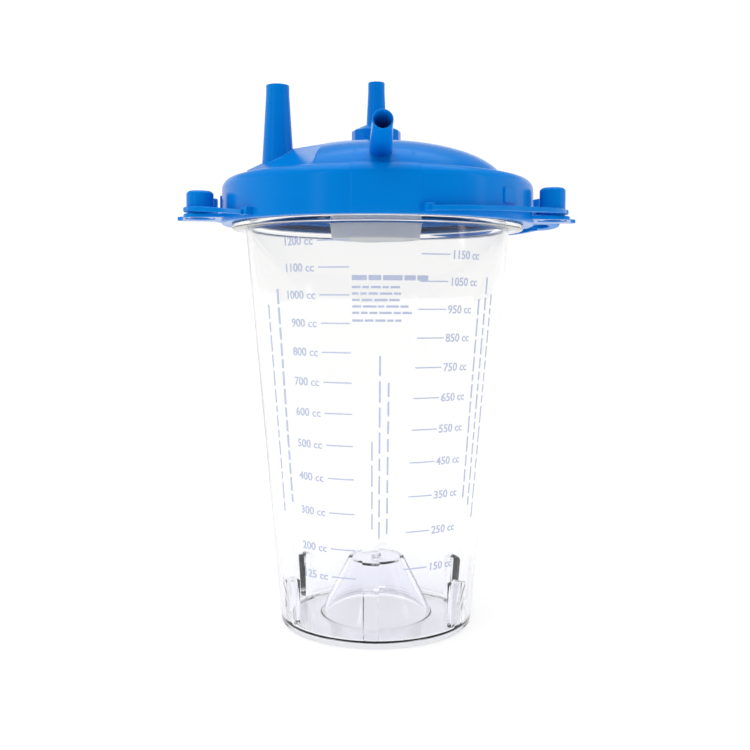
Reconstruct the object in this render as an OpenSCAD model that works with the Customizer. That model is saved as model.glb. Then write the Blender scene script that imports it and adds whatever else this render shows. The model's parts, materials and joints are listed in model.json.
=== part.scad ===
// Disposable suction canister: clear tapered collection cup, domed press-on lid with three
// hose ports, float shut-off valve and four tethered closures. Millimetres, +Z up.
// Origin: centre of the cup's resting face. The front, with the patient spout, faces -Y.
// Azimuths turn about +Z from the front (-Y) towards the right (+X).

/* [Cup] */
// Outer radius of the cup wall, extended down to the resting plane
foot_radius = 43; // [42:0.1:44]
// Outward growth of the wall radius per millimetre of height
wall_taper = 0.0852; // [0.082:0.0002:0.088]
// Thickness of the cup wall
cup_wall = 1.6; // [1.4:0.1:1.8]
// Height of the cup to its rim
cup_height = 184; // [183.5:0.1:184.5]
// Outer radius of the flange that the lid stands on
flange_radius = 63.9; // [63.5:0.1:64.5]
// Height of the flange's upper face
flange_top = 177; // [176.8:0.1:177]
// Height of the inside of the floor
floor_top = 3.3; // [3:0.1:3.6]
// Radius of the push-up cone where it leaves the floor
push_up_foot = 25; // [24:0.5:26]
// Radius of the push-up cone's flat top
push_up_crown = 12.3; // [11.5:0.1:13]
// Height of the push-up cone's top
push_up_height = 28.5; // [27:0.5:29]
// Number of ribs inside the foot of the wall
rib_count = 6; // [4:1:8]
// Azimuth of the first rib
rib_start = -5; // [-8:1:0]
// Height of the rib tops
rib_top = 23; // [20:0.5:25]

/* [Graduations] */
// Highest mark, in cubic centimetres
scale_top = 1200; // [1100:50:1200]
// Volume between neighbouring marks of one column
scale_step = 100; // [100]
// Height of a printed line
line_height = 0.55; // [0.4:0.05:0.7]

/* [Lid] */
// Outer radius of the lid at the bottom of its skirt
skirt_radius = 68.4; // [68:0.1:69]
// Wall thickness of the lid
lid_wall = 1.7; // [1.5:0.1:1.9]
// Height of the highest point of the dome
dome_apex = 212.6; // [211:0.2:214]
// Radius at which the dome's curve stands upright
dome_reach = 56.7; // [56:0.1:57.5]
// Depth of the dome's curve
dome_rise = 21; // [20:0.5:22]
// Roundness of the dome's curve
dome_power = 2.2; // [2:0.05:2.4]
// Radius of the shoulder between skirt and top
shoulder_round = 4.6; // [4:0.2:5]
// Half width of the raised panel at the front
panel_half_width = 13.9; // [12:0.1:15]

/* [Ports] */
// Centre of the large left port
ortho_centre = [-44, 1.5];
// Height of the large port's mouth
ortho_top = 238; // [234:1:242]
// Centre of the vacuum port
vacuum_centre = [0, 20];
// Height of the vacuum port's mouth
vacuum_top = 243.7; // [240:0.5:246]
// Upward slope of the patient spout, in degrees
spout_slope = 12.2; // [8:0.2:16]
// Distance of the spout's mouth from the lid's axis
spout_reach = 78; // [74:1:82]
// Height of the centre of the spout's mouth
spout_height = 209.6; // [209:0.1:212]

/* [Closures] */
// Thickness of the tether straps
strap_thickness = 2; // [1.6:0.1:2]
// Width of the tether straps
strap_width = 3.2; // [2.8:0.1:3.4]
// Azimuth where the right cap's strap leaves the skirt
right_cap_root = 14; // [10:1:20]
// Azimuth where the left cap's strap leaves the skirt
left_cap_root = -50; // [-54:1:-46]
// Height of the right cap's top
right_cap_top = 192.6; // [190:0.2:194]
// Height of the left cap's top
left_cap_top = 190.1; // [188:0.2:192]

/* [Float valve] */
// Radius of the float housing at its open top
housing_radius = 22.2; // [21.6:0.1:22.2]
// Height of the underside of the float housing
housing_bottom = 172.4; // [172:0.1:173]
// Travel of the float between the housing's floor and the valve seat
float_travel = 6.3; // [5:0.1:6.3]

/* [Hidden] */
$fn = 96;

clear_styrene = [0.92, 0.95, 0.98];
lid_blue = [0.03, 0.42, 0.82];
ink_blue = [0.45, 0.55, 0.85];
frosted = [0.85, 0.87, 0.9];
eps = 0.01;

// ---- cup ----
foot_round = 2;
foot_ring_inner = 38.5;
floor_underside = 1.7;
flange_thickness = 2.1;
crown_chamfer = 1;
rib_width = 6.4;
rib_depth = 3.6;
bead_radius = 60.3;
bead_bottom = 180.2;

function wall_outer(z) = foot_radius + wall_taper * z;
function wall_inner(z) = wall_outer(z) - cup_wall;

// ---- graduations: height of a volume, from the cup's own inside shape ----
// volume of a frustum between two heights, in cubic millimetres
function frustum(r1, r2, h) = PI * h * (r1 * r1 + r1 * r2 + r2 * r2) / 3;
push_up_volume = frustum(push_up_foot, push_up_crown, push_up_height - floor_top);
ribs_volume = rib_count * rib_width * rib_depth * (rib_top - floor_top);
floor_radius = wall_inner(floor_top);
function height_for(cc) = floor_top + (pow(
        pow(floor_radius, 3) + 3 * wall_taper * (cc * 1000 + push_up_volume + ribs_volume) / PI,
        1 / 3) - floor_radius) / wall_taper;
ink_thickness = 0.12;
// azimuth of a column's line ends nearest the front, their lean per millimetre of height,
// and the width of the lines in degrees
left_line_inner = -12.4;
left_line_lean = -0.0064;
left_line_width = 13;
right_line_inner = 11.1;
right_line_lean = 0.0268;
right_line_width = 12.7;
lowest_left = 200;
lowest_right = 150;
lowest_mark = 125;

// ---- lid ----
skirt_bottom = flange_top;
shoulder_height = 196.2;
shoulder_start = 63.4;
dome_foot = 55.4;
skirt_inner = 66.6;
lip_inner = 60.6;
plug_bottom = 180.5;
plug_gap = 0.3;
plug_wall = 1.4;
panel_height = 0.35;
dome_steps = 22;
socket_inner = housing_radius;
socket_wall = 1.6;
socket_bottom = 183.5;
lug_azimuths = [48, 183, -87];
lug_width = 8;
lug_bottom = 183;
lug_top = 189.3;
lug_depth = 0.5;

function dome_z(r, less = 0) = dome_apex - dome_rise + (dome_rise - less)
    * pow(1 - pow(r / (dome_reach - less), dome_power), 1 / dome_power);
function plug_outer(z) = wall_inner(z) - plug_gap;

// ---- ports ----
ortho_base = 196;
ortho_base_radius = 7.5;
ortho_tip_radius = 5.1;
ortho_bore = 4.1;
saddle_foot_radius = 19;
saddle_top_radius = 9.4;
saddle_height = 15.5;
vacuum_base = 200;
vacuum_base_radius = 4.4;
vacuum_tip_radius = 3.8;
vacuum_bore = 2.8;
vacuum_skirt_radius = 11.3;
vacuum_skirt_top = 221.6;
vacuum_cone_top = 224.3;
spout_base_radius = 4.7;
spout_tip_radius = 3.9;
spout_bore = 3.3;
spout_turn = -0.8;
spout_tip_chamfer = 0.3;
tip_land = 4;
spout_length = 36;

// ---- float valve ----
housing_wall = 1.4;
housing_foot_radius = 20.5;
housing_top = 188;
float_radius = 16;
float_gap = 0.3;
float_bottom = housing_bottom + housing_wall + float_gap;
float_top = float_bottom + 10;
seal_thickness = 1.6;
seat_height = float_top + seal_thickness + float_travel + float_gap;

// ---- ears and closures ----
ear_bottom = 178.6;
ear_thickness = 1.6;
strap_radius = 70.8;
strap_root_height = 179;
right_cap_at = [74.4, -16.4];
left_cap_at = [-75.8, -16.4];
right_cap_radius = 5.5;
left_cap_radius = 5.7;
cap_bottom = 178.8;
cap_wall = 1.5;
cap_crown = 1;
cap_ring_width = 1.4;
cap_ring_height = 181.2;
cap_strap_height = cap_ring_height + strap_thickness / 2;
right_plug_at = [77.6, 22];
left_plug_at = [-77.6, 22];
plug_root = 165;
plug_disc_radius = 8.7;
plug_disc_thickness = 1.6;
plug_stem_radius = 4.4;
plug_hole_radius = 3.6;
plug_top_wall = 1.2;
left_plug_z = 181;
left_plug_length = 9.8;
right_plug_z = 179;
right_plug_length = 12.4;
// lean of the right plug towards the front, and the sag of its strap
right_plug_tilt = -9.5;
right_strap_sag = 2.4;
anchor_width = 3.6;
anchor_height = 2.6;
anchor_gap = 0.8;
anchor_depth = 3;
strap_steps = 20;

function azimuth_of(p) = atan2(p[0], -p[1]);
function radius_of(p) = norm(p);

// places its child at an azimuth and radius
module at_azimuth(az, radius = 0) rotate([0, 0, az]) translate([0, -radius, 0]) children();

// ---------------------------------------------------------------- cup
module cup_profile() {
    foot_edge = wall_outer(foot_round);
    polygon(concat(
        [[foot_ring_inner, 0]],
        [for (a = [0:15:75]) [foot_edge - foot_round * (1 - sin(a)), foot_round * (1 - cos(a))]],
        [
            [foot_edge, foot_round],
            [wall_outer(flange_top - flange_thickness - 1), flange_top - flange_thickness - 1],
            [wall_outer(flange_top - flange_thickness) + 1, flange_top - flange_thickness],
            [flange_radius - 0.5, flange_top - flange_thickness],
            [flange_radius, flange_top - flange_thickness + 0.5],
            [flange_radius, flange_top - 0.5],
            [flange_radius - 0.5, flange_top],
            [wall_outer(flange_top), flange_top],
            [wall_outer(bead_bottom), bead_bottom],
            [bead_radius, bead_bottom + 1],
            [bead_radius, cup_height - 1],
            [bead_radius - 1, cup_height],
            [wall_inner(cup_height), cup_height],
            [wall_inner(floor_top), floor_top],
            [push_up_foot, floor_top],
            [push_up_crown, push_up_height - crown_chamfer],
            [push_up_crown - crown_chamfer, push_up_height],
            [0, push_up_height],
            [0, push_up_height - cup_wall],
            [push_up_crown - cup_wall, push_up_height - cup_wall],
            [push_up_foot - cup_wall, floor_underside],
            [foot_ring_inner, floor_underside]
        ]
    ));
}

module rib() {
    outer = wall_inner(rib_top) + 0.5;
    inner = wall_inner(floor_top) - rib_depth;
    intersection() {
        translate([-rib_width / 2, -outer, floor_top - eps])
            cube([rib_width, outer - inner, rib_top - floor_top]);
        cylinder(r1 = wall_inner(0) + 0.2, r2 = wall_inner(rib_top) + 0.2, h = rib_top);
    }
}

module cup() {
    color(clear_styrene) {
        rotate_extrude($fn = 144) cup_profile();
        for (i = [0:rib_count - 1]) at_azimuth(rib_start + i * 360 / rib_count) rib();
        translate([0, 0, push_up_height - eps]) cylinder(r = 1.6, h = 1.2);
    }
}

// one printed line, curved round the wall at the height of its volume
module scale_line(cc, start, width) {
    z = height_for(cc);
    rotate([0, 0, start - 90])
        rotate_extrude(angle = width)
            polygon([
                [wall_outer(z), z],
                [wall_outer(z) + ink_thickness, z],
                [wall_outer(z + line_height) + ink_thickness, z + line_height],
                [wall_outer(z + line_height), z + line_height]
            ]);
}

module graduations_left() {
    marks = concat([lowest_mark], [for (cc = [lowest_left:scale_step:scale_top]) cc]);
    color(ink_blue)
        for (cc = marks) {
            inner = left_line_inner + left_line_lean * height_for(cc);
            scale_line(cc, inner - left_line_width, left_line_width);
        }
}

module graduations_right() {
    color(ink_blue)
        for (cc = [lowest_right:scale_step:scale_top - scale_step / 2]) {
            inner = right_line_inner + right_line_lean * height_for(cc);
            scale_line(cc, inner, right_line_width);
        }
}

// ---------------------------------------------------------------- lid
outer_dome = [for (i = [0:dome_steps]) let (r = dome_foot * i / dome_steps) [r, dome_z(r)]];
inner_dome_foot = dome_foot - 2.2;
inner_dome = [for (i = [dome_steps:-1:0])
    let (r = inner_dome_foot * i / dome_steps) [r, dome_z(r, lid_wall)]];
shoulder = [for (a = [0:15:90]) [
    shoulder_start + shoulder_round * sin(a),
    shoulder_height - shoulder_round * (1 - cos(a))
]];

module lid_profile() {
    polygon(concat(
        outer_dome,
        shoulder,
        [
            [skirt_radius, skirt_bottom],
            [lip_inner, skirt_bottom],
            [lip_inner, skirt_bottom + 1.8],
            [skirt_inner, skirt_bottom + 3],
            [skirt_inner - 0.6, shoulder_height - shoulder_round - 0.6],
            [shoulder_start - 0.8, shoulder_height - lid_wall - 0.2],
            [plug_outer(shoulder_height), shoulder_height - lid_wall],
            [plug_outer(plug_bottom + 1), plug_bottom + 1],
            [plug_outer(plug_bottom) - 0.8, plug_bottom],
            [plug_outer(plug_bottom) - plug_wall, plug_bottom],
            [plug_outer(193) - plug_wall - 0.2, 193]
        ],
        inner_dome
    ));
}

// the lid's outer form as a solid, used to seat what stands on it
module lid_envelope() {
    rotate_extrude($fn = 144)
        polygon(concat(outer_dome, shoulder, [[skirt_radius, skirt_bottom], [0, skirt_bottom]]));
}

// the space under the dome
module dome_inside() {
    rotate_extrude($fn = 144)
        polygon(concat([[0, plug_bottom], [inner_dome_foot, plug_bottom]], inner_dome));
}

module front_panel() {
    intersection() {
        rotate_extrude($fn = 144)
            translate([panel_height * 0.7, panel_height * 0.7])
                polygon(concat(
                    [for (p = outer_dome) if (p[0] > 40) p],
                    shoulder,
                    [[skirt_radius, skirt_bottom], [skirt_radius - 1, skirt_bottom],
                     [skirt_radius - 2, 190], [shoulder_start - 1, 194.5], [dome_foot - 2, 195], [39, 203]]
                ));
        translate([0, 0, skirt_bottom])
            linear_extrude(40)
                polygon([[-panel_half_width, -80], [panel_half_width, -80],
                         [panel_half_width - 3, -40], [3 - panel_half_width, -40]]);
    }
}

module lug(az) {
    at_azimuth(az, skirt_radius - 1.4)
        translate([-lug_width / 2, -lug_depth - 1.4, lug_bottom])
            cube([lug_width, lug_depth + 1.4, lug_top - lug_bottom]);
}

module spout_axis() {
    rotate([0, 0, spout_turn])
        translate([0, -spout_reach, spout_height]) rotate([90 - spout_slope, 0, 0]) children();
}

module lid_shell() {
    color(lid_blue)
        difference() {
            union() {
                rotate_extrude($fn = 144) lid_profile();
                front_panel();
                for (az = lug_azimuths) lug(az);
                intersection() {
                    dome_inside();
                    translate([vacuum_centre[0], vacuum_centre[1], 0]) {
                        difference() {
                            translate([0, 0, socket_bottom])
                                cylinder(r = socket_inner + socket_wall, h = 40);
                            translate([0, 0, socket_bottom - 1]) cylinder(r = socket_inner, h = 42);
                        }
                        translate([0, 0, seat_height]) cylinder(r = 6.5, h = 30);
                    }
                }
            }
            translate([vacuum_centre[0], vacuum_centre[1], seat_height - 1])
                cylinder(r = vacuum_bore, h = 60);
            translate([ortho_centre[0], ortho_centre[1], 180]) cylinder(r = ortho_bore, h = 60);
            spout_axis() translate([0, 0, -spout_length]) cylinder(r = spout_bore, h = spout_length);
        }
}

// flat grip beside the skirt with a window that parks the cap; drawn for the right side
module ear(cap_at) {
    translate([0, 0, ear_bottom])
        linear_extrude(ear_thickness)
            difference() {
                union() {
                    translate(cap_at) circle(r = 9.4);
                    polygon([[64, -26], [cap_at[0] - 4, cap_at[1] - 8.5], [84.2, -6.4],
                             [87.2, -4.2], [87.2, -2.6], [84, -1.2], [66, 1]]);
                    translate([85.6, -3.4]) circle(r = 2.2);
                }
                circle(r = skirt_radius - 0.05, $fn = 144);
                translate(cap_at) circle(r = 6.4);
            }
}

module right_ear() color(lid_blue) ear(right_cap_at);
module left_ear() color(lid_blue) mirror([1, 0, 0]) ear([-left_cap_at[0], left_cap_at[1]]);

// ---------------------------------------------------------------- ports
module ortho_port() {
    taper_top = ortho_top - tip_land;
    color(lid_blue)
        translate([ortho_centre[0], ortho_centre[1], 0])
            difference() {
                union() {
                    translate([0, 0, ortho_base])
                        cylinder(r1 = ortho_base_radius, r2 = ortho_tip_radius, h = taper_top - ortho_base);
                    translate([0, 0, taper_top - eps]) cylinder(r = ortho_tip_radius, h = tip_land);
                    // faceted saddle between the tube and the dome
                    rotate([0, 0, 45])
                        translate([0, 0, ortho_base - 1])
                            cylinder(r1 = saddle_foot_radius, r2 = saddle_top_radius,
                                h = saddle_height, $fn = 4);
                }
                translate([0, 0, ortho_base - 6]) cylinder(r = ortho_bore, h = 60);
                translate([-ortho_centre[0], -ortho_centre[1], 0]) lid_envelope();
            }
}

module vacuum_port() {
    taper_top = vacuum_top - tip_land;
    color(lid_blue)
        translate([vacuum_centre[0], vacuum_centre[1], 0])
            difference() {
                union() {
                    translate([0, 0, vacuum_base])
                        cylinder(r = vacuum_skirt_radius, h = vacuum_skirt_top - vacuum_base, $fn = 12);
                    translate([0, 0, vacuum_skirt_top - eps])
                        cylinder(r1 = vacuum_skirt_radius, r2 = vacuum_base_radius + 0.3,
                            h = vacuum_cone_top - vacuum_skirt_top, $fn = 12);
                    translate([0, 0, vacuum_skirt_top])
                        cylinder(r1 = vacuum_base_radius + 0.15, r2 = vacuum_tip_radius,
                            h = taper_top - vacuum_skirt_top);
                    translate([0, 0, taper_top - eps]) cylinder(r = vacuum_tip_radius, h = tip_land);
                }
                translate([0, 0, vacuum_base - 10]) cylinder(r = vacuum_bore, h = 60);
                translate([-vacuum_centre[0], -vacuum_centre[1], 0]) lid_envelope();
            }
}

module patient_port() {
    color(lid_blue)
        difference() {
            spout_axis()
                rotate_extrude()
                    polygon([
                        [spout_bore, -spout_length],
                        [spout_base_radius, -spout_length],
                        [spout_tip_radius, -tip_land],
                        [spout_tip_radius, -spout_tip_chamfer],
                        [spout_tip_radius - spout_tip_chamfer, 0],
                        [spout_bore, 0]
                    ]);
            lid_envelope();
            front_panel();
        }
}

// ---------------------------------------------------------------- float valve
module float_housing() {
    color(frosted)
        translate([vacuum_centre[0], vacuum_centre[1], 0])
            difference() {
                rotate_extrude()
                    polygon([
                        [0, housing_bottom],
                        [housing_foot_radius - 1, housing_bottom],
                        [housing_foot_radius, housing_bottom + 1],
                        [housing_radius - 0.3, socket_bottom - 0.2],
                        [housing_radius, socket_bottom],
                        [housing_radius, housing_top],
                        [housing_radius - housing_wall, housing_top],
                        [housing_radius - housing_wall, socket_bottom],
                        [housing_foot_radius - housing_wall, housing_bottom + housing_wall],
                        [0, housing_bottom + housing_wall]
                    ]);
                // liquid enters through slots round the edge of the floor
                for (a = [45:90:315])
                    rotate([0, 0, a - 18])
                        rotate_extrude(angle = 36)
                            translate([16.6, housing_bottom - 1]) square([2.2, 3]);
            }
}

module float() {
    color(frosted)
        translate([vacuum_centre[0], vacuum_centre[1], float_bottom])
            rotate_extrude()
                polygon([
                    [0, 0], [float_radius - 1, 0], [float_radius, 1],
                    [float_radius, float_top - float_bottom - 1],
                    [float_radius - 1, float_top - float_bottom],
                    [0, float_top - float_bottom]
                ]);
}

module float_seal() {
    color("dimgray")
        translate([vacuum_centre[0], vacuum_centre[1], float_top])
            cylinder(r = 8, h = seal_thickness);
}

// ---------------------------------------------------------------- closures
// A strap follows the skirt from its root and swings out to its closure.
// t runs from 0 at the root to 1 at the closure; az and radius and height follow it.
function ease(t) = t * t * (3 - 2 * t);
function strap_point(t, from, to, sag) = let (
        az = from[0] + (to[0] - from[0]) * t,
        r = from[1] + (to[1] - from[1]) * ease(max(0, (t - 0.55) / 0.45)),
        z = from[2] + (to[2] - from[2]) * t - 4 * sag * t * (1 - t)
    ) [r * sin(az), -r * cos(az), z];

module strap(from, to, sag = 0) {
    route = [for (i = [0:strap_steps]) strap_point(i / strap_steps, from, to, sag)];
    half_w = strap_width / 2;
    half_t = strap_thickness / 2;
    points = [for (i = [0:strap_steps]) let (
            back = route[max(0, i - 1)],
            ahead = route[min(strap_steps, i + 1)],
            along = [ahead[0] - back[0], ahead[1] - back[1]],
            side = [along[1], -along[0]] / norm(along)
        )
        for (c = [[-1, -1], [1, -1], [1, 1], [-1, 1]])
            [route[i][0] + side[0] * half_w * c[0],
             route[i][1] + side[1] * half_w * c[0],
             route[i][2] + half_t * c[1]]
    ];
    sides = [for (i = [0:strap_steps - 1]) for (j = [0:3]) [
        i * 4 + j, i * 4 + (j + 1) % 4, (i + 1) * 4 + (j + 1) % 4, (i + 1) * 4 + j
    ]];
    last = strap_steps * 4;
    polyhedron(points, concat(sides, [[3, 2, 1, 0]], [[last, last + 1, last + 2, last + 3]]), convexity = 4);
}

module cap(place, top, radius) {
    translate([place[0], place[1], cap_bottom])
        rotate_extrude()
            polygon([
                [radius - cap_wall, 0],
                [radius, 0],
                [radius, cap_ring_height - cap_bottom],
                [radius + cap_ring_width, cap_ring_height - cap_bottom],
                [radius + cap_ring_width, cap_ring_height - cap_bottom + strap_thickness],
                [radius, cap_ring_height - cap_bottom + strap_thickness],
                [radius, top - cap_crown - cap_bottom],
                [radius - cap_crown, top - cap_bottom],
                [0, top - cap_bottom],
                [0, top - cap_wall - cap_bottom],
                [radius - cap_wall, top - cap_wall - cap_bottom]
            ]);
}

module right_cap() color(lid_blue) cap(right_cap_at, right_cap_top, right_cap_radius);
module left_cap() color(lid_blue) cap(left_cap_at, left_cap_top, left_cap_radius);

// the block that carries a strap's root on the skirt
module strap_anchor(root) {
    at_azimuth(root, skirt_radius + anchor_gap)
        translate([-anchor_width / 2, -anchor_depth, strap_root_height - strap_thickness / 2])
            cube([anchor_width, anchor_depth, anchor_height]);
}

// the strap of a cap, cut to meet the cap's ring; drawn for the right side
module cap_strap(root, cap_at, cap_radius) {
    end_az = azimuth_of(cap_at);
    color(lid_blue)
        difference() {
            union() {
                strap([root, strap_radius, strap_root_height],
                      [end_az - 3, radius_of(cap_at) + cap_radius - 1, cap_strap_height]);
                strap_anchor(root);
            }
            translate([cap_at[0], cap_at[1], skirt_bottom])
                cylinder(r = cap_radius + cap_ring_width, h = 10);
        }
}

module right_cap_strap() cap_strap(right_cap_root, right_cap_at, right_cap_radius);
module left_cap_strap()
    mirror([1, 0, 0]) cap_strap(-left_cap_root, [-left_cap_at[0], left_cap_at[1]], left_cap_radius);

module plug(length) {
    rotate_extrude()
        polygon([
            [plug_hole_radius, 0],
            [plug_disc_radius, 0],
            [plug_disc_radius, plug_disc_thickness],
            [plug_stem_radius, plug_disc_thickness],
            [plug_stem_radius, length],
            [0, length],
            [0, length - plug_top_wall],
            [plug_hole_radius, length - plug_top_wall]
        ]);
}

module right_plug()
    color(lid_blue)
        translate([right_plug_at[0], right_plug_at[1], right_plug_z])
            rotate([right_plug_tilt, 0, 0]) plug(right_plug_length);
module left_plug()
    color(lid_blue)
        translate([left_plug_at[0], left_plug_at[1], left_plug_z]) plug(left_plug_length);

// the strap of a plug, cut to meet its disc; drawn for the right side
module plug_strap(place, end_z, sag, tilt) {
    color(lid_blue)
        difference() {
            union() {
                strap([plug_root, strap_radius, strap_root_height],
                      [azimuth_of(place) + 3, radius_of(place) - 1, end_z], sag);
                strap_anchor(plug_root);
            }
            translate([place[0], place[1], end_z]) rotate([tilt, 0, 0])
                translate([0, 0, -12]) cylinder(r = plug_disc_radius, h = 24);
        }
}

module right_plug_strap() plug_strap(right_plug_at, right_plug_z - 0.6, right_strap_sag, right_plug_tilt);
module left_plug_strap()
    mirror([1, 0, 0])
        plug_strap([-left_plug_at[0], left_plug_at[1]], left_plug_z + plug_disc_thickness / 2, 0, 0);

cup();
graduations_left();
graduations_right();
lid_shell();
left_ear();
right_ear();
ortho_port();
vacuum_port();
patient_port();
float_housing();
float();
float_seal();
right_cap();
right_cap_strap();
left_cap();
left_cap_strap();
right_plug();
right_plug_strap();
left_plug();
left_plug_strap();
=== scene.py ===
"""Looks of a disposable suction canister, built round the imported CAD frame.

Sizes are millimetres; mesh_object() turns them into metres. Azimuths turn from the front (-Y) towards +X.
"""
import json
import math
import random

import bmesh
import bpy
from mathutils import Matrix, Vector


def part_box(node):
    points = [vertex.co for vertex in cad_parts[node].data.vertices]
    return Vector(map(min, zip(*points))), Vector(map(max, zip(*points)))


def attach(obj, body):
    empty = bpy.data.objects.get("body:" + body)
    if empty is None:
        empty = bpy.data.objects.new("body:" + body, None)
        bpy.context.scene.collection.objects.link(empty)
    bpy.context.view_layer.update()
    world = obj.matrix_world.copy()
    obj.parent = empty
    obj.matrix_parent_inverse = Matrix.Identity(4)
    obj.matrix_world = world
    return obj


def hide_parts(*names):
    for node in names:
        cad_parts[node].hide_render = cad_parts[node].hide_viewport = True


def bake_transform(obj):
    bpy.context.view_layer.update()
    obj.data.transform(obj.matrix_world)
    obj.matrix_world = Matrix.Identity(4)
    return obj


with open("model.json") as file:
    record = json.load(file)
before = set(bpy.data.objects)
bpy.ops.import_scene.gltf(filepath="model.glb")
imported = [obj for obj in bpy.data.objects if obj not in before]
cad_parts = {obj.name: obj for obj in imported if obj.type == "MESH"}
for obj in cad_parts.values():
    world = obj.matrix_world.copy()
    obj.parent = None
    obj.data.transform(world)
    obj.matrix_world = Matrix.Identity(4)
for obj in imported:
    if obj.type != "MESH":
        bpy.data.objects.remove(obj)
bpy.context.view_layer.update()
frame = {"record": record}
MM = 0.001
random.seed(7)


def node_box(name):
    """Lowest and highest corner of a CAD node, in millimetres."""
    low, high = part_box(name)
    return low / MM, high / MM


mounts = {m["name"]: m for m in frame["record"]["mounts"]}


def mount_point(name):
    return Vector(mounts[name]["pos_m"]) / MM


# ---------------------------------------------------------------- driving sizes
cup_high = node_box("cup")[1]
FLANGE_RADIUS = cup_high.x
CUP_HEIGHT = cup_high.z
FOOT_RADIUS = 43.0
TAPER = 0.0852
CUP_WALL = 1.6
FLOOR_TOP = 3.3
FLANGE_TOP = 177.0
FLANGE_BOTTOM = 174.9
BEAD_RADIUS = 60.3
FOOT_RING_INNER = 38.5
PUSH_UP_FOOT = 25.0
PUSH_UP_CROWN = 12.3
PUSH_UP_HEIGHT = 28.5
RIB_COUNT = 6
RIB_START = -5.0
RIB_TOP = 23.0
RIB_WIDTH = 6.4
RIB_DEPTH = 3.6

SKIRT_RADIUS = 68.4
SKIRT_BOTTOM = FLANGE_TOP
SHOULDER_HEIGHT = 196.2
SHOULDER_START = 63.4
SHOULDER_ROUND = 4.6
DOME_APEX = 212.6
DOME_REACH = 56.7
DOME_RISE = 21.0
DOME_POWER = 2.2
DOME_FOOT = 55.4
LID_WALL = 1.7
PLUG_BOTTOM = 180.5

ORTHO_TIP = mount_point("ortho_port_tip")
VACUUM_TIP = mount_point("vacuum_port_tip")
SPOUT_TIP = mount_point("patient_port_tip")
SPOUT_AXIS = Vector(mounts["patient_port_tip"]["axis"]).normalized()
UP = Vector((0, 0, 1))

STRAP_RADIUS = 70.8
STRAP_ROOT_HEIGHT = 179.0


def wall_outer(z):
    return FOOT_RADIUS + TAPER * z


def wall_inner(z):
    return wall_outer(z) - CUP_WALL


def polar(radius, azimuth, z):
    a = math.radians(azimuth)
    return Vector((radius * math.sin(a), -radius * math.cos(a), z))


def ramp(value, low, high):
    """0 at low, 1 at high, eased between."""
    t = max(0.0, min(1.0, (value - low) / (high - low)))
    return t * t * (3 - 2 * t)


def smooth_min(a, b, k):
    h = max(0.0, min(1.0, 0.5 + 0.5 * (b - a) / k))
    return b + (a - b) * h - k * h * (1 - h)


def smooth_max(a, b, k):
    return -smooth_min(-a, -b, k)


# ---------------------------------------------------------------- mesh helpers
def mesh_object(name, points, faces, sharp=40):
    mesh = bpy.data.meshes.new(name)
    mesh.from_pydata([Vector(p) * MM for p in points], [], faces)
    work = bmesh.new()
    work.from_mesh(mesh)
    bmesh.ops.remove_doubles(work, verts=work.verts, dist=1e-7)
    bmesh.ops.recalc_face_normals(work, faces=work.faces)
    work.to_mesh(mesh)
    work.free()
    mesh.shade_smooth()
    if sharp:
        mesh.set_sharp_from_angle(angle=math.radians(sharp))
    piece = bpy.data.objects.new(name, mesh)
    bpy.context.scene.collection.objects.link(piece)
    return piece


def skin(name, rings, loop=False, caps=False, sharp=40):
    """Quads between neighbouring closed rings of points; loop joins the last ring to the first."""
    count = len(rings[0])
    points = [p for ring in rings for p in ring]
    faces = []
    for i in range(len(rings) if loop else len(rings) - 1):
        a, b = i * count, (i + 1) % len(rings) * count
        for j in range(count):
            k = (j + 1) % count
            faces.append((a + j, a + k, b + k, b + j))
    if caps:
        faces.append(tuple(range(count - 1, -1, -1)))
        faces.append(tuple(range(len(points) - count, len(points))))
    return mesh_object(name, points, faces, sharp)


def rounded(corners, steps=4):
    """A closed outline from (x, y, radius) corners, each corner rounded to its radius."""
    outline = []
    for i, (x, y, radius) in enumerate(corners):
        p = Vector((x, y))
        before = Vector(corners[i - 1][:2]) - p
        after = Vector(corners[(i + 1) % len(corners)][:2]) - p
        if radius <= 0 or before.length < 1e-6 or after.length < 1e-6:
            outline.append((x, y))
            continue
        half = before.angle(after) / 2
        reach = min(radius / math.tan(half), 0.49 * before.length, 0.49 * after.length)
        start, end = p + before.normalized() * reach, p + after.normalized() * reach
        for k in range(steps + 1):
            t = k / steps
            outline.append(tuple(start * (1 - t) ** 2 + 2 * p * t * (1 - t) + end * t * t))
    return outline


def lathe(name, outline, segments=96, centre=(0, 0), sharp=40):
    """Turns a closed (radius, height) outline about the vertical axis at centre."""
    shift = Vector((centre[0], centre[1], 0))
    rings = [[polar(r, 360 * j / segments, z) + shift for j in range(segments)] for r, z in outline]
    return skin(name, rings, loop=True, sharp=sharp)


def soften(piece, width, segments=3, angle=40):
    """Rounds the edges of a piece that are sharper than angle."""
    bevel = piece.modifiers.new("soften", "BEVEL")
    bevel.width = width * MM
    bevel.segments = segments
    bevel.limit_method = "ANGLE"
    bevel.angle_limit = math.radians(angle)
    bevel.harden_normals = True
    return piece


def settle(piece):
    """Applies the piece's modifiers to its mesh."""
    graph = bpy.context.evaluated_depsgraph_get()
    mesh = bpy.data.meshes.new_from_object(piece.evaluated_get(graph))
    piece.modifiers.clear()
    piece.data = mesh
    return piece


def combine(piece, other, operation):
    """Joins other to piece, or cuts it away, as one closed mesh."""
    step = piece.modifiers.new(operation.lower(), "BOOLEAN")
    step.operation = operation
    step.object = other
    step.solver = "EXACT"
    settle(piece)
    bpy.data.objects.remove(other)
    return piece


def finish_piece(piece, body, slot, look, *nodes):
    piece.data.materials.clear()
    piece.data.materials.append(look)
    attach(piece, body)
    if nodes:
        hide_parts(*nodes)
    return piece


# ---------------------------------------------------------------- materials
def new_look(name):
    look = bpy.data.materials.new(name)
    look.use_nodes = True
    return look, look.node_tree.nodes, look.node_tree.links


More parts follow.
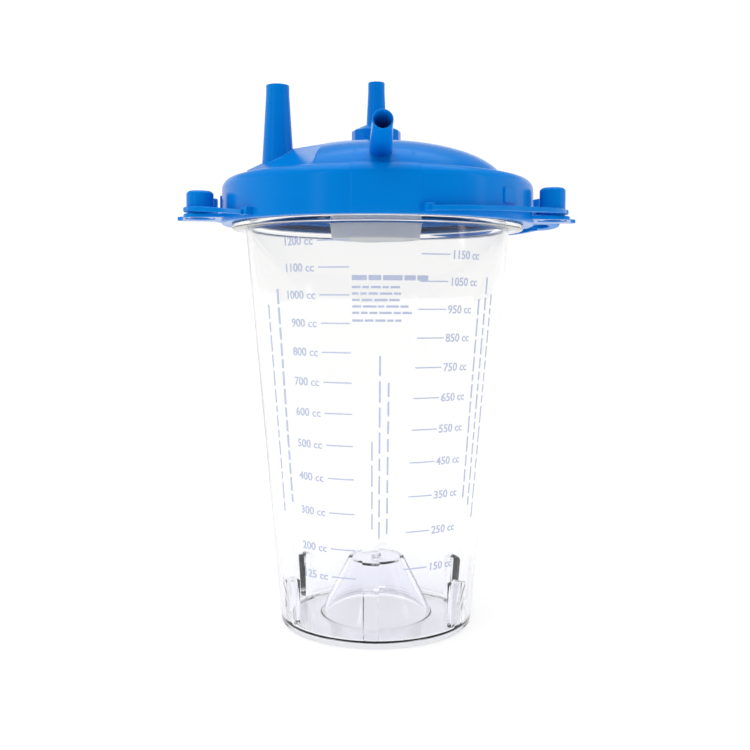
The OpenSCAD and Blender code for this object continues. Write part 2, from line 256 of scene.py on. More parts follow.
def noise_node(nodes, links, scale, detail=3.0, stretch=(1, 1, 1)):
    place = nodes.new("ShaderNodeTexCoord")
    mapping = nodes.new("ShaderNodeMapping")
    mapping.inputs["Scale"].default_value = stretch
    noise = nodes.new("ShaderNodeTexNoise")
    noise.inputs["Scale"].default_value = scale
    noise.inputs["Detail"].default_value = detail
    links.new(place.outputs["Object"], mapping.inputs["Vector"])
    links.new(mapping.outputs["Vector"], noise.inputs["Vector"])
    return noise


def ramp_node(nodes, links, source, low, high, start=0.3, end=0.7):
    colours = nodes.new("ShaderNodeValToRGB")
    colours.color_ramp.elements[0].position = start
    colours.color_ramp.elements[0].color = low
    colours.color_ramp.elements[1].position = end
    colours.color_ramp.elements[1].color = high
    links.new(source, colours.inputs["Fac"])
    return colours


def range_node(nodes, links, source, low, high):
    spread = nodes.new("ShaderNodeMapRange")
    spread.inputs["From Min"].default_value = 0.3
    spread.inputs["From Max"].default_value = 0.7
    spread.inputs["To Min"].default_value = low
    spread.inputs["To Max"].default_value = high
    links.new(source, spread.inputs["Value"])
    return spread


def bump_node(nodes, links, source, strength, distance):
    bump = nodes.new("ShaderNodeBump")
    bump.inputs["Strength"].default_value = strength
    bump.inputs["Distance"].default_value = distance
    links.new(source, bump.inputs["Height"])
    return bump


def moulded_plastic(name, dark, light, rough_low, rough_high, subsurface=0.0):
    """Injection-moulded polypropylene: faint flow marks in colour and gloss, very fine skin texture."""
    look, nodes, links = new_look(name)
    shader = nodes["Principled BSDF"]
    flow = noise_node(nodes, links, 28, 3, (1, 1, 2.2))
    links.new(ramp_node(nodes, links, flow.outputs["Fac"], dark, light).outputs["Color"],
              shader.inputs["Base Color"])
    cloud = noise_node(nodes, links, 70, 4)
    links.new(range_node(nodes, links, cloud.outputs["Fac"], rough_low, rough_high).outputs["Result"],
              shader.inputs["Roughness"])
    skin_texture = noise_node(nodes, links, 2600, 2)
    bump = bump_node(nodes, links, skin_texture.outputs["Fac"], 0.05, 0.0002)
    round_off = nodes.new("ShaderNodeBevel")
    round_off.samples = 4
    round_off.inputs["Radius"].default_value = 0.0004
    links.new(round_off.outputs["Normal"], bump.inputs["Normal"])
    links.new(bump.outputs["Normal"], shader.inputs["Normal"])
    shader.inputs["IOR"].default_value = 1.49
    shader.inputs["Specular IOR Level"].default_value = 0.12
    shader.inputs["Specular Tint"].default_value = (0.35, 0.75, 1.0, 1)
    shader.inputs["Subsurface Weight"].default_value = subsurface
    shader.inputs["Subsurface Radius"].default_value = (0.2, 0.5, 1.0)
    shader.inputs["Subsurface Scale"].default_value = 0.002
    return look


def clear_plastic():
    """Crystal polystyrene: clear, slightly wavy inside; its colour is a painted reflection of the backdrop
    by height, brighter and faintly lavender low down, greyer towards the rim.
    """
    look, nodes, links = new_look("clear_styrene")
    shader = nodes["Principled BSDF"]
    place = nodes.new("ShaderNodeTexCoord")
    split = nodes.new("ShaderNodeSeparateXYZ")
    links.new(place.outputs["Object"], split.inputs["Vector"])
    # painted reflection: base colour runs from brighter, faintly lavender at the bottom to greyer at the
    # top, standing in for the backdrop's reflection
    rise = nodes.new("ShaderNodeMapRange")
    rise.inputs["From Max"].default_value = CUP_HEIGHT * MM
    links.new(split.outputs["Z"], rise.inputs["Value"])
    links.new(ramp_node(nodes, links, rise.outputs["Result"], (0.965, 0.968, 1.0, 1),
                        (0.945, 0.945, 0.942, 1), 0.1, 0.6).outputs["Color"], shader.inputs["Base Color"])
    shader.inputs["Transmission Weight"].default_value = 1.0
    shader.inputs["IOR"].default_value = 1.33
    shader.inputs["Specular IOR Level"].default_value = 0.5
    haze = noise_node(nodes, links, 90, 4)
    links.new(range_node(nodes, links, haze.outputs["Fac"], 0.015, 0.05).outputs["Result"],
              shader.inputs["Roughness"])
    waves = noise_node(nodes, links, 22, 2, (1, 1, 0.35))
    links.new(bump_node(nodes, links, waves.outputs["Fac"], 0.12, 0.0006).outputs["Normal"],
              shader.inputs["Normal"])
    return look


def frosted_plastic(name, tint):
    """Natural polypropylene: milky, lets light through."""
    look, nodes, links = new_look(name)
    shader = nodes["Principled BSDF"]
    cloud = noise_node(nodes, links, 45, 4)
    darker = tuple(c * 0.93 for c in tint[:3]) + (1,)
    links.new(ramp_node(nodes, links, cloud.outputs["Fac"], darker, tint).outputs["Color"],
              shader.inputs["Base Color"])
    links.new(range_node(nodes, links, cloud.outputs["Fac"], 0.34, 0.46).outputs["Result"],
              shader.inputs["Roughness"])
    grain = noise_node(nodes, links, 1800, 2)
    links.new(bump_node(nodes, links, grain.outputs["Fac"], 0.08, 0.0002).outputs["Normal"],
              shader.inputs["Normal"])
    shader.inputs["Transmission Weight"].default_value = 0.35
    shader.inputs["IOR"].default_value = 1.49
    return look


def printed_ink():
    """Pale blue screen-printed ink, a little uneven."""
    look, nodes, links = new_look("ink")
    shader = nodes["Principled BSDF"]
    patchy = noise_node(nodes, links, 900, 3)
    links.new(ramp_node(nodes, links, patchy.outputs["Fac"], (0.50, 0.56, 0.76, 1),
                        (0.58, 0.64, 0.82, 1)).outputs["Color"], shader.inputs["Base Color"])
    links.new(range_node(nodes, links, patchy.outputs["Fac"], 0.45, 0.6).outputs["Result"],
              shader.inputs["Roughness"])
    return look


def seal_rubber():
    look, nodes, links = new_look("seal_rubber")
    shader = nodes["Principled BSDF"]
    dust = noise_node(nodes, links, 400, 4)
    links.new(ramp_node(nodes, links, dust.outputs["Fac"], (0.02, 0.02, 0.022, 1),
                        (0.035, 0.035, 0.037, 1)).outputs["Color"], shader.inputs["Base Color"])
    links.new(bump_node(nodes, links, dust.outputs["Fac"], 0.15, 0.0003).outputs["Normal"],
              shader.inputs["Normal"])
    shader.inputs["Roughness"].default_value = 0.7
    return look


LID_LOOK = moulded_plastic("lid_plastic", (0.0, 0.20, 0.66, 1), (0.0, 0.215, 0.70, 1), 0.17, 0.23)
CLEAR_LOOK = clear_plastic()
HOUSING_LOOK = frosted_plastic("frosted_plastic", (0.90, 0.94, 1.0, 1))
INK_LOOK = printed_ink()
RUBBER_LOOK = seal_rubber()


# ---------------------------------------------------------------- cup
def build_cup():
    outline = rounded([
        (0, PUSH_UP_HEIGHT, 0),
        (1.0, PUSH_UP_HEIGHT, 0),
        (1.2, PUSH_UP_HEIGHT + 1.1, 0.3),
        (1.9, PUSH_UP_HEIGHT + 1.1, 0.3),
        (2.1, PUSH_UP_HEIGHT, 0.2),
        (PUSH_UP_CROWN, PUSH_UP_HEIGHT, 1.3),
        (PUSH_UP_FOOT, FLOOR_TOP, 1.6),
        (wall_inner(FLOOR_TOP), FLOOR_TOP, 1.2),
        (wall_inner(CUP_HEIGHT), CUP_HEIGHT, 0.6),
        (BEAD_RADIUS, CUP_HEIGHT, 0.9),
        (BEAD_RADIUS, 181.0, 0.6),
        (wall_outer(180.2), 180.2, 0.3),
        (wall_outer(FLANGE_TOP), FLANGE_TOP, 0.4),
        (FLANGE_RADIUS, FLANGE_TOP, 0.5),
        (FLANGE_RADIUS, FLANGE_BOTTOM, 0.5),
        (wall_outer(FLANGE_BOTTOM), FLANGE_BOTTOM, 1.1),
        (wall_outer(0), 0, 2.0),
        (FOOT_RING_INNER, 0, 0.5),
        (FOOT_RING_INNER, 1.7, 0.6),
        (PUSH_UP_FOOT - CUP_WALL, 1.7, 1.0),
        (PUSH_UP_CROWN - CUP_WALL, PUSH_UP_HEIGHT - CUP_WALL, 1.0),
        (0, PUSH_UP_HEIGHT - CUP_WALL, 0),
    ], steps=5)
    cup = lathe("cup_shell", outline, 192, sharp=60)
    ribs = [build_rib(RIB_START + 360 * i / RIB_COUNT) for i in range(RIB_COUNT)]
    for rib in ribs:
        combine(cup, rib, "UNION")
    cup.data.shade_smooth()
    cup.data.set_sharp_from_angle(angle=math.radians(50))
    return finish_piece(cup, "cup", "clear_styrene", CLEAR_LOOK, "cup")


def build_rib(azimuth):
    """An upright rib with a rounded nose, sunk half a wall into the cup so that they join."""
    half = RIB_WIDTH / 2
    rings = []
    for z, less in ((FLOOR_TOP - 0.8, 0), (RIB_TOP - 0.5, 0), (RIB_TOP, 0.5)):
        back = wall_inner(z) + CUP_WALL / 2
        nose = wall_inner(FLOOR_TOP) - RIB_DEPTH + less
        section = rounded([(-half + less, back, 0), (half - less, back, 0),
                           (half - less, nose, 0.9), (-half + less, nose, 0.9)], steps=4)
        turn = Matrix.Rotation(math.radians(azimuth), 3, "Z")
        rings.append([turn @ Vector((x, -r, z)) for x, r in section])
    return skin("rib", rings, caps=True)


# ---------------------------------------------------------------- printing
INK_THICKNESS = 0.12
PUSH_UP_VOLUME = math.pi * (PUSH_UP_HEIGHT - FLOOR_TOP) / 3 * (
    PUSH_UP_FOOT ** 2 + PUSH_UP_FOOT * PUSH_UP_CROWN + PUSH_UP_CROWN ** 2)
RIBS_VOLUME = RIB_COUNT * RIB_WIDTH * RIB_DEPTH * (RIB_TOP - FLOOR_TOP)


def height_for(cc):
    """Height of a volume, from the cup's own inside shape."""
    floor_radius = wall_inner(FLOOR_TOP)
    cube = floor_radius ** 3 + 3 * TAPER * (cc * 1000 + PUSH_UP_VOLUME + RIBS_VOLUME) / math.pi
    return FLOOR_TOP + (cube ** (1 / 3) - floor_radius) / TAPER


def on_wall(across, z, proud):
    """A point on the cup's outside; across is the azimuth."""
    return polar(wall_outer(z) + proud, across, z)


def ink_patch(points, faces, start, width, z, height):
    """Adds a thin printed bar that follows the wall."""
    columns = max(2, int(width / 1.2))
    base = len(points)
    for i in range(columns + 1):
        azimuth = start + width * i / columns
        for height_up, proud in ((0, 0.01), (0, INK_THICKNESS), (height, INK_THICKNESS), (height, 0.01)):
            points.append(on_wall(azimuth, z + height_up, proud))
    for i in range(columns):
        for j in range(4):
            a, b = base + i * 4, base + (i + 1) * 4
            faces.append((a + j, a + (j + 1) % 4, b + (j + 1) % 4, b + j))
    faces.append(tuple(base + j for j in range(4)))
    faces.append(tuple(base + columns * 4 + j for j in (3, 2, 1, 0)))


def scale_lines(name, node, marks, inner, lean, width, side):
    points, faces = [], []
    for cc in marks:
        z = height_for(cc)
        edge = inner + lean * z
        ink_patch(points, faces, edge if side > 0 else edge - width, width, z, 0.5)
    return finish_piece(mesh_object(name, points, faces), "cup", "ink", INK_LOOK, node)


def scale_numbers(name, marks, inner, lean, width, side):
    """The marks' numbers as thin printed figures wrapped round the wall."""
    graph = bpy.context.evaluated_depsgraph_get
    digit_height, gap = 3.3, 1.9 if side < 0 else 0.9
    points, faces = [], []
    for cc in marks:
        z = height_for(cc)
        curve = bpy.data.curves.new("figures", "FONT")
        curve.body = f"{cc} cc"
        curve.size = digit_height / 0.70
        curve.resolution_u = 3
        curve.offset = 0.07
        words = bpy.data.objects.new("figures", curve)
        bpy.context.scene.collection.objects.link(words)
        mesh = bpy.data.meshes.new_from_object(words.evaluated_get(graph()))
        bpy.data.objects.remove(words)
        span = max(v.co.x for v in mesh.vertices)
        radius = wall_outer(z)
        edge = inner + lean * z + side * width
        base = len(points)
        flat = [(v.co.x, v.co.y) for v in mesh.vertices]
        for proud in (0.01, INK_THICKNESS):
            for x, y in flat:
                along = x if side > 0 else x - span
                azimuth = edge + math.degrees((along + side * gap) / radius)
                points.append(on_wall(azimuth, z + y - digit_height / 2 + 0.25, proud))
        count = len(flat)
        for polygon in mesh.polygons:
            ring = list(polygon.vertices)
            faces.append([base + i for i in reversed(ring)])
            faces.append([base + count + i for i in ring])
        used = {}
        for polygon in mesh.polygons:
            ring = list(polygon.vertices)
            for i in range(len(ring)):
                key = (ring[i], ring[(i + 1) % len(ring)])
                used[key] = used.get(key, 0) + 1
        for a, b in used:
            if (b, a) not in used:
                faces.append([base + a, base + b, base + count + b, base + count + a])
        bpy.data.meshes.remove(mesh)
    return finish_piece(mesh_object(name, points, faces, sharp=30), "cup", "ink", INK_LOOK)


def print_bars():
    """Plain bars where the canister carries other print."""
    points, faces = [], []
    rows = ((152.3, 31, 2.0), (149.2, 21, 0.9), (146.7, 21.5, 0.9), (144.2, 20, 0.9),
            (141.7, 23, 0.9), (139.2, 24.5, 0.9), (136.2, 22, 0.9))
    for z, width, height in rows:
        azimuth, end = -12.3, -12.3 + width
        while azimuth < end - 1.5:
            length = min(random.uniform(3.0, 7.0) * (1.4 if height > 1 else 0.8), end - azimuth)
            ink_patch(points, faces, azimuth, length, z, height)
            azimuth += length + 0.7
    for azimuth, low, high, height in ((-49.5, 60, 150, 1.3), (-57, 55, 138, 1.0), (46, 62, 146, 1.0),
                                       (51, 58, 150, 1.0), (56, 52, 148, 1.0)):
        z = low
        while z < high:
            length = random.uniform(2.5, 7.5)
            ink_patch(points, faces, azimuth, height, z, length)
            z += length + 1.3
    for azimuth, low, high, height in ((-4.6, 52, 84, 0.7), (-1.2, 48, 116, 0.8), (2.6, 50, 112, 0.8)):
        z = low
        while z < high:
            length = random.uniform(5.0, 9.0)
            ink_patch(points, faces, azimuth, height, z, length)
            z += length + 2.0
    return finish_piece(mesh_object("print_bars", points, faces), "cup", "ink", INK_LOOK)


def build_printing():
    left, right = list(range(200, 1201, 100)) + [125], list(range(150, 1151, 100))
    scale_lines("scale_lines_left", "graduations_left", left, -12.4, -0.0064, 13.0, -1)
    scale_lines("scale_lines_right", "graduations_right", right, 11.1, 0.0268, 12.7, 1)
    scale_numbers("scale_numbers_left", left, -12.4, -0.0064, 13.0, -1)
    scale_numbers("scale_numbers_right", right, 11.1, 0.0268, 12.7, 1)
    print_bars()


# ---------------------------------------------------------------- lid surface
def dome_height(r):
    fall = max(0.0, 1 - (r / DOME_REACH) ** DOME_POWER) ** (1 / DOME_POWER)
    return DOME_APEX - DOME_RISE + DOME_RISE * fall


def ring_height(r):
    """The flat ring between dome and shoulder."""
    return SHOULDER_HEIGHT + 0.8 * max(0.0, SHOULDER_START - r) / (SHOULDER_START - DOME_FOOT)


SADDLE_CORNER = Vector((-37.0, 1.3, 211.0))
SADDLE_FRONT = (0.470, 0.354)
SADDLE_LIGHT = (0.292, 0.318)
SADDLE_LOW = Vector((-27.2, -47.1))
SADDLE_HIGH = Vector((-20.0, -14.3))


def saddle(x, y):
    """The faceted boss under the large port: flat facets in front, mirrored behind."""
    z = SADDLE_CORNER.z + 0.04 * (x - SADDLE_CORNER.x)
    for side in (y, 2 * ORTHO_TIP.y - y):
        for fx, fy in (SADDLE_FRONT, SADDLE_LIGHT):
            facet = SADDLE_CORNER.z + fx * (x - SADDLE_CORNER.x) + fy * (side - SADDLE_CORNER.y)
            z = smooth_min(z, facet, 0.35)
    return z


def saddle_cut(x, y):
    """1 where the facets also cut into the dome, 0 beyond their right-hand edge."""
    edge = SADDLE_HIGH - SADDLE_LOW
    normal = Vector((-edge.y, edge.x)).normalized()
    side = y if y < ORTHO_TIP.y else 2 * ORTHO_TIP.y - y
    return ramp((Vector((x, side)) - SADDLE_LOW) @ normal, -0.35, 0.35)


def lid_height(x, y):
    """Height of the lid's upper face, out to the shoulder."""
    r = math.hypot(x, y)
    dome = smooth_max(dome_height(min(r, DOME_REACH)), ring_height(r), 0.5)
    cut = saddle_cut(x, y) if x < -12 and r < 58 else 0
    if cut > 0:
        dome = smooth_max(dome + (saddle(x, y) - dome) * cut, ring_height(r), 0.3)
    return dome


PANEL_CENTRE, PANEL_TOP, PANEL_PROUD, PANEL_CORNER = 0.5, 48.0, 0.3, 3.0


def panel_proud(x, y):
    """How far the front panel stands out at a point of the lid."""
    if y > 0:
        return 0.0
    half = 10.9 + 3.0 * (-y - 40) / 40
    across = abs(x - PANEL_CENTRE) - half + PANEL_CORNER
    along = PANEL_TOP - math.hypot(x, y) + PANEL_CORNER
    outside = math.hypot(max(across, 0), max(along, 0)) + min(max(across, along), 0) - PANEL_CORNER
    return PANEL_PROUD * ramp(-outside, -0.22, 0.22)


def spaced(start, end, step):
    count = max(1, round(abs(end - start) / step))
    return [start + (end - start) * i / count for i in range(count)]


def build_lid():
    azimuths = spaced(-150, -20, 0.6) + spaced(-20, 20, 0.3) + spaced(20, 210, 1.25)
    rows = []
    for r in [0.0] + spaced(0.8, 46, 0.6) + spaced(46, 50, 0.4) + spaced(50, DOME_FOOT + 1, 0.5) \
            + spaced(DOME_FOOT + 1, SHOULDER_START, 1.2):
        rows.append((r, None, 0, 1))
    for i in range(11):
        a = math.radians(9 * i)
        rows.append((SHOULDER_START + SHOULDER_ROUND * math.sin(a),
                     SHOULDER_HEIGHT - SHOULDER_ROUND * (1 - math.cos(a)), math.sin(a), math.cos(a)))
    shoulder_foot = SHOULDER_HEIGHT - SHOULDER_ROUND
    for z in spaced(shoulder_foot, SKIRT_BOTTOM + 0.6, 2.4)[1:] + [SKIRT_BOTTOM + 0.6]:
        share = (shoulder_foot - z) / (shoulder_foot - SKIRT_BOTTOM)
        rows.append((68.0 + (SKIRT_RADIUS - 68.0) * share, z, 1, 0))
    for a in (30, 60, 90):
        turn = math.radians(a)
        rows.append((SKIRT_RADIUS - 0.6 + 0.6 * math.cos(turn), SKIRT_BOTTOM + 0.6 - 0.6 * math.sin(turn),
                     0.8, -0.2))
    rings = []
    for r, z, nr, nz in rows:
        ring = []
        for azimuth in azimuths:
            p = polar(r, azimuth, 0)
            proud = panel_proud(p.x, p.y)
            height = lid_height(p.x, p.y) if z is None else z
            out = polar(r + proud * nr, azimuth, height + proud * nz)
            ring.append(out)
        rings.append(ring)
    # lip, channel and plug ring under the lid
    plug_outer = [wall_inner(z) - 0.3 for z in (194.5, PLUG_BOTTOM + 1, PLUG_BOTTOM)]
    under = [(61.2, SKIRT_BOTTOM), (60.6, SKIRT_BOTTOM + 0.5), (60.6, 178.6), (61.2, 179), (66.4, 180),
             (66.5, 180.6), (66.0, 190.5), (65.2, 193.0), (63.4, 194.2), (plug_outer[0] + 0.6, 194.5),
             (plug_outer[0], 193.9), (plug_outer[1], PLUG_BOTTOM + 1),
             (plug_outer[2] - 0.25, PLUG_BOTTOM + 0.4), (plug_outer[2] - 0.7, PLUG_BOTTOM),
             (plug_outer[2] - 1.1, PLUG_BOTTOM), (plug_outer[2] - 1.5, PLUG_BOTTOM + 0.4),
             (plug_outer[0] - 1.7, 191.5), (plug_outer[0] - 2.6, 192.6)]
    for r, z in under:
        rings.append([polar(r, azimuth, z) for azimuth in azimuths])
    for r in list(reversed(spaced(2, 53.4, 2.2))) + [0.0]:
        ring = []
        for azimuth in azimuths:
            p = polar(r, azimuth, 0)
            ring.append(polar(r, azimuth, lid_height(p.x, p.y) - LID_WALL * (1 + 0.25 * (r / 53) ** 3)))
        rings.append(ring)
    lid = skin("lid_moulding", rings, sharp=50)
    for tip, axis, bore, depth in ((ORTHO_TIP, UP, 4.1, 60), (VACUUM_TIP, UP, 2.8, 60),
                                   (SPOUT_TIP, SPOUT_AXIS, 3.3, 44)):
        combine(lid, bore_cutter(tip, axis, bore + 0.06, depth), "DIFFERENCE")
    lid.data.shade_smooth()
    lid.data.set_sharp_from_angle(angle=math.radians(45))
    return finish_piece(lid, "lid", "lid_plastic", LID_LOOK, "lid_shell")


def frame_of(axis):
    """Two directions at right angles to an axis."""
    side = (Vector((1, 0, 0)) - axis * axis.x).normalized()
    return side, axis.cross(side).normalized()


def bore_cutter(tip, axis, radius, depth):
    side, other = frame_of(axis)
    rings = []
    for s in (-2, depth):
        centre = tip - axis * s
        rings.append([centre + (side * math.cos(t) + other * math.sin(t)) * radius
                      for t in (2 * math.pi * j / 48 for j in range(48))])
    return skin("cutter", rings, caps=True)


# ---------------------------------------------------------------- ports
def build_port(name, node, tip, axis, radius_at, bore, fillet, length):
    """A hollow tube that flares into the lid's upper face."""
    side, other = frame_of(axis)
    count = 64
    lip = 0.3
    columns = []
    for j in range(count):
        turn = 2 * math.pi * j / count
        out = side * math.cos(turn) + other * math.sin(turn)

        def at(s, r):
            return tip - axis * s + out * r

        def above(s):
            p = at(s, radius_at(s))
            return p.z - lid_height(p.x, p.y)

        low, high = 0.0, length
        for _ in range(30):
            middle = (low + high) / 2
            low, high = (middle, high) if above(middle) > 0 else (low, middle)
        hit = low  # where the tube's side meets the lid
        column = [at(length + 4, bore), at(length * 0.5, bore), at(lip, bore), at(0, bore + lip * 0.7)]
        column += [at(0, radius_at(0) - lip), at(lip * 0.3, radius_at(0) - lip * 0.3)]
        column.append(at(lip, radius_at(lip)))
        for share in (0.08, 0.11, 0.2, 0.4, 0.6, 0.8):
            s = share * (hit - fillet)
            column.append(at(max(s, lip * 1.5), radius_at(max(s, lip * 1.5))))
        start = at(hit - fillet, radius_at(hit - fillet))
        corner = at(hit, radius_at(hit))
        away = corner + Vector((out.x, out.y, 0)).normalized() * fillet * 0.8
        away.z = lid_height(away.x, away.y) - 0.02
        for k in range(7):
            t = k / 6
            column.append(start * (1 - t) ** 2 + corner * 2 * t * (1 - t) + away * t * t)
        sunk = away.copy()
        sunk.z -= 0.9
        column.append(sunk)
        root = at(hit, bore + 0.9)
        root.z = min(root.z, lid_height(root.x, root.y) - 0.9)
        column.append(root)
        column.append(at(length + 4, bore + 0.4))
        columns.append(column)
    port = skin(name, [list(ring) for ring in zip(*columns)], loop=True, sharp=50)
    return finish_piece(port, "lid", "lid_plastic", LID_LOOK, node)


def straight_taper(tip_radius, base_radius, land, length):
    def radius_at(s):
        return tip_radius + (base_radius - tip_radius) * max(0.0, s - land) / (length - land)
    return radius_at


def build_vacuum_base():
    """The twelve-sided base of the vacuum port, with its sloping facets."""
    sides, top, cone = 12, 221.6, 224.6
    rings = []
    for z, radius in ((209, 11.4), (top, 11.3), (cone, 4.9)):
        rings.append([Vector((VACUUM_TIP.x, VACUUM_TIP.y, z))
                      + Vector((math.cos(t), math.sin(t), 0)) * radius
                      for t in (2 * math.pi * j / sides for j in range(sides))])
    base = skin("vacuum_port_base", rings, caps=True, sharp=0)
    combine(base, bore_cutter(VACUUM_TIP, UP, 3.2, 60), "DIFFERENCE")
    soften(base, 0.35, 3, 15)
    return finish_piece(base, "lid", "lid_plastic", LID_LOOK)


def build_ports():
    build_port("ortho_tube", "ortho_port", ORTHO_TIP, UP, straight_taper(5.1, 7.5, 4, 42), 4.1, 0.7, 42)
    build_vacuum_tube()
    build_vacuum_base()
    build_port("patient_tube", "patient_port", SPOUT_TIP, SPOUT_AXIS, straight_taper(3.9, 4.7, 4, 36),
               3.3, 0.6, 36)


def build_vacuum_tube():
    outline = rounded([
        (2.8, 205, 0), (4.4, 205, 0), (4.4, 223.6, 0), (4.75, 224.0, 0.2), (4.5, 224.9, 0.5),
        (3.8, VACUUM_TIP.z - 4, 3), (3.8, VACUUM_TIP.z, 0.3), (2.8, VACUUM_TIP.z, 0.3),
    ], steps=3)
    tube = lathe("vacuum_tube", outline, 48, (VACUUM_TIP.x, VACUUM_TIP.y))
    return finish_piece(tube, "lid", "lid_plastic", LID_LOOK, "vacuum_port")


# ---------------------------------------------------------------- lid trim
def plate(name, outline, windows, z, thickness, edge=0.3):
    """A flat plate with rounded edges, and windows through it."""
    curve = bpy.data.curves.new(name, "CURVE")
    curve.dimensions = "2D"
    curve.fill_mode = "BOTH"
    curve.bevel_depth = edge
    curve.bevel_resolution = 3
    curve.offset = -edge
    curve.extrude = thickness / 2 - edge
    for loop in [outline] + windows:
        line = curve.splines.new("POLY")
        line.points.add(len(loop) - 1)
        for point, (x, y) in zip(line.points, loop):
            point.co = (x, y, 0, 1)
        line.use_cyclic_u = True
    drawn = bpy.data.objects.new(name, curve)
    bpy.context.scene.collection.objects.link(drawn)
    graph = bpy.context.evaluated_depsgraph_get()
    mesh = bpy.data.meshes.new_from_object(drawn.evaluated_get(graph))
    points = [(v.co.x, v.co.y, v.co.z + z + thickness / 2) for v in mesh.vertices]
    faces = [tuple(p.vertices) for p in mesh.polygons]
    bpy.data.objects.remove(drawn)
    return mesh_object(name, points, faces, sharp=35)


def circle(centre, radius, count=40, clockwise=True):
    turn = -1 if clockwise else 1
    return [(centre[0] + radius * math.cos(turn * 2 * math.pi * i / count),
             centre[1] + radius * math.sin(turn * 2 * math.pi * i / count)) for i in range(count)]


def build_ear(name, node, cap_at, side):
    """The grip ear beside the skirt, with the window that parks the cap."""
    reach = SKIRT_RADIUS - 0.3
    inner = [(reach * math.cos(math.radians(a)), reach * math.sin(math.radians(a)))
             for a in range(1, -24, -2)]
    outline = inner + rounded([
        (66.2, -25.5, 0), (cap_at[0] - 5.5, cap_at[1] - 9.2, 3), (cap_at[0] + 5.5, cap_at[1] - 8.6, 6),
        (84.6, -8.0, 4), (87.3, -5.4, 1.5), (87.3, -2.0, 1.5), (84.0, -1.2, 2)], steps=5)[1:]
    window = circle(cap_at, 6.4)
    if side < 0:
        outline = [(-x, y) for x, y in outline]
        window = [(-x, y) for x, y in window]
    low, high = node_box(node)
    ear = plate(name, outline, [window], low.z, high.z - low.z)
    return finish_piece(ear, "lid", "lid_plastic", LID_LOOK, node)


def block(name, azimuth, radius_in, radius_out, half_width, low, high, lean=0.0):
    """A small upright block on the skirt."""
    turn = Matrix.Rotation(math.radians(azimuth), 3, "Z")
    rings = [[turn @ Vector((x, -r, z)) for x, r in (
        (-half_width, radius_in), (half_width, radius_in),
        (half_width, radius_out - out), (-half_width, radius_out - out))]
        for z, out in ((low, 0), (high, lean))]
    piece = skin(name, rings, caps=True, sharp=0)
    return soften(piece, 0.5, 3)


def build_lid_trim(strap_roots):
    for name, azimuth in (("lug_right", 48), ("lug_rear", 183), ("lug_left", -87)):
        lug = block(name, azimuth, SKIRT_RADIUS - 1.4, SKIRT_RADIUS + 0.5, 4, 183, 189.3, 0.1)
        finish_piece(lug, "lid", "lid_plastic", LID_LOOK)
    for name, azimuth in strap_roots.items():
        anchor = block(f"{name}_anchor", azimuth, SKIRT_RADIUS - 0.6, STRAP_RADIUS + 0.9, 2.1,
                       STRAP_ROOT_HEIGHT - 1.1, STRAP_ROOT_HEIGHT + 2.1, 0.6)
        finish_piece(anchor, "lid", "lid_plastic", LID_LOOK)


# ---------------------------------------------------------------- float valve
def build_float_valve():
    low, high = node_box("float_housing")
    at = (VACUUM_TIP.x, VACUUM_TIP.y)
    wall, foot, top = 1.4, 20.5, 22.2
    outline = rounded([
        (0, low.z, 0), (foot - 4.6, low.z, 0.2), (foot - 4.4, low.z + 0.5, 0.2),
        (foot - 1.4, low.z + 0.5, 0.2),
        (foot - 1.2, low.z, 0.2), (foot, low.z, 0.9), (top - 0.3, 183.3, 0.3), (top, 183.5, 0.2),
        (top, high.z, 0.3),
        (top - wall, high.z, 0.3), (top - wall, 183.5, 0.5), (foot - wall, low.z + wall, 0.8),
        (0, low.z + wall, 0)], steps=3)
    housing = lathe("float_housing_shell", outline, 96, at, sharp=50)
    for azimuth in (45, 135, 225, 315):
        combine(housing, slot_cutter(at, azimuth, 16.6, 18.8, low.z), "DIFFERENCE")
    housing.data.shade_smooth()
    housing.data.set_sharp_from_angle(angle=math.radians(45))
    finish_piece(housing, "lid", "frosted_plastic", HOUSING_LOOK, "float_housing")

    low, high = node_box("float")
    body = lathe("float_disc", rounded([
        (0, low.z, 0), (15.0, low.z, 0), (16.0, low.z + 1.0, 0.8), (16.0, high.z - 1.6, 0.6),
        (15.2, high.z, 0.8),
        (12.2, high.z, 0.6), (11.6, high.z - 0.8, 0.4), (9.0, high.z - 0.8, 0.3), (8.6, high.z, 0.3),
        (0, high.z, 0)], steps=4), 80, at)
    finish_piece(body, "float", "frosted_plastic", HOUSING_LOOK, "float")
    low, high = node_box("float_seal")
    seal = lathe("float_seal_pad", rounded([
        (0, low.z, 0), (8.0, low.z, 0.4), (8.0, high.z, 0.5), (5.2, high.z, 0.3), (4.9, high.z - 0.35, 0.2),
        (0, high.z - 0.35, 0)], steps=4), 64, at)
    finish_piece(seal, "float", "seal_rubber", RUBBER_LOOK, "float_seal")


def slot_cutter(centre, azimuth, inner, outer, z):
    rings = []
    for i in range(7):
        turn = azimuth - 18 + 6 * i
        rings.append([polar(r, turn, h) + Vector((centre[0], centre[1], 0))
                      for r, h in ((inner, z - 1), (outer, z - 1), (outer, z + 2), (inner, z + 2))])
    return skin("cutter", rings, caps=True)


# ---------------------------------------------------------------- closures
def build_cap(name, node, body, place, radius, rise):
    """A closure cap: plain sides, softly rounded crown, ring that carries the strap, gate mark on top."""
    low, high = node_box(node)
    wall, ring = 1.5, 181.2
    outline = rounded([
        (0, high.z, 0), (0.9, high.z, 0), (1.0, high.z - 0.35, 0.2), (1.7, high.z - 0.35, 0.2),
        (1.8, high.z, 0.2), (radius - rise, high.z - 0.05, 1.0), (radius, high.z - rise, 0.9),
        (radius + 0.05, ring + 2.0, 0.35), (radius + 1.4, ring + 2.0, 0.6), (radius + 1.4, ring, 0.6),
        (radius, ring, 0.2), (radius, low.z, 0.3), (radius - wall, low.z, 0.3),
        (radius - wall, high.z - wall, 0.8), (0, high.z - wall, 0)], steps=4)
    cap = lathe(name, outline, 72, place)
    return finish_piece(cap, body, "lid_plastic", LID_LOOK, node)


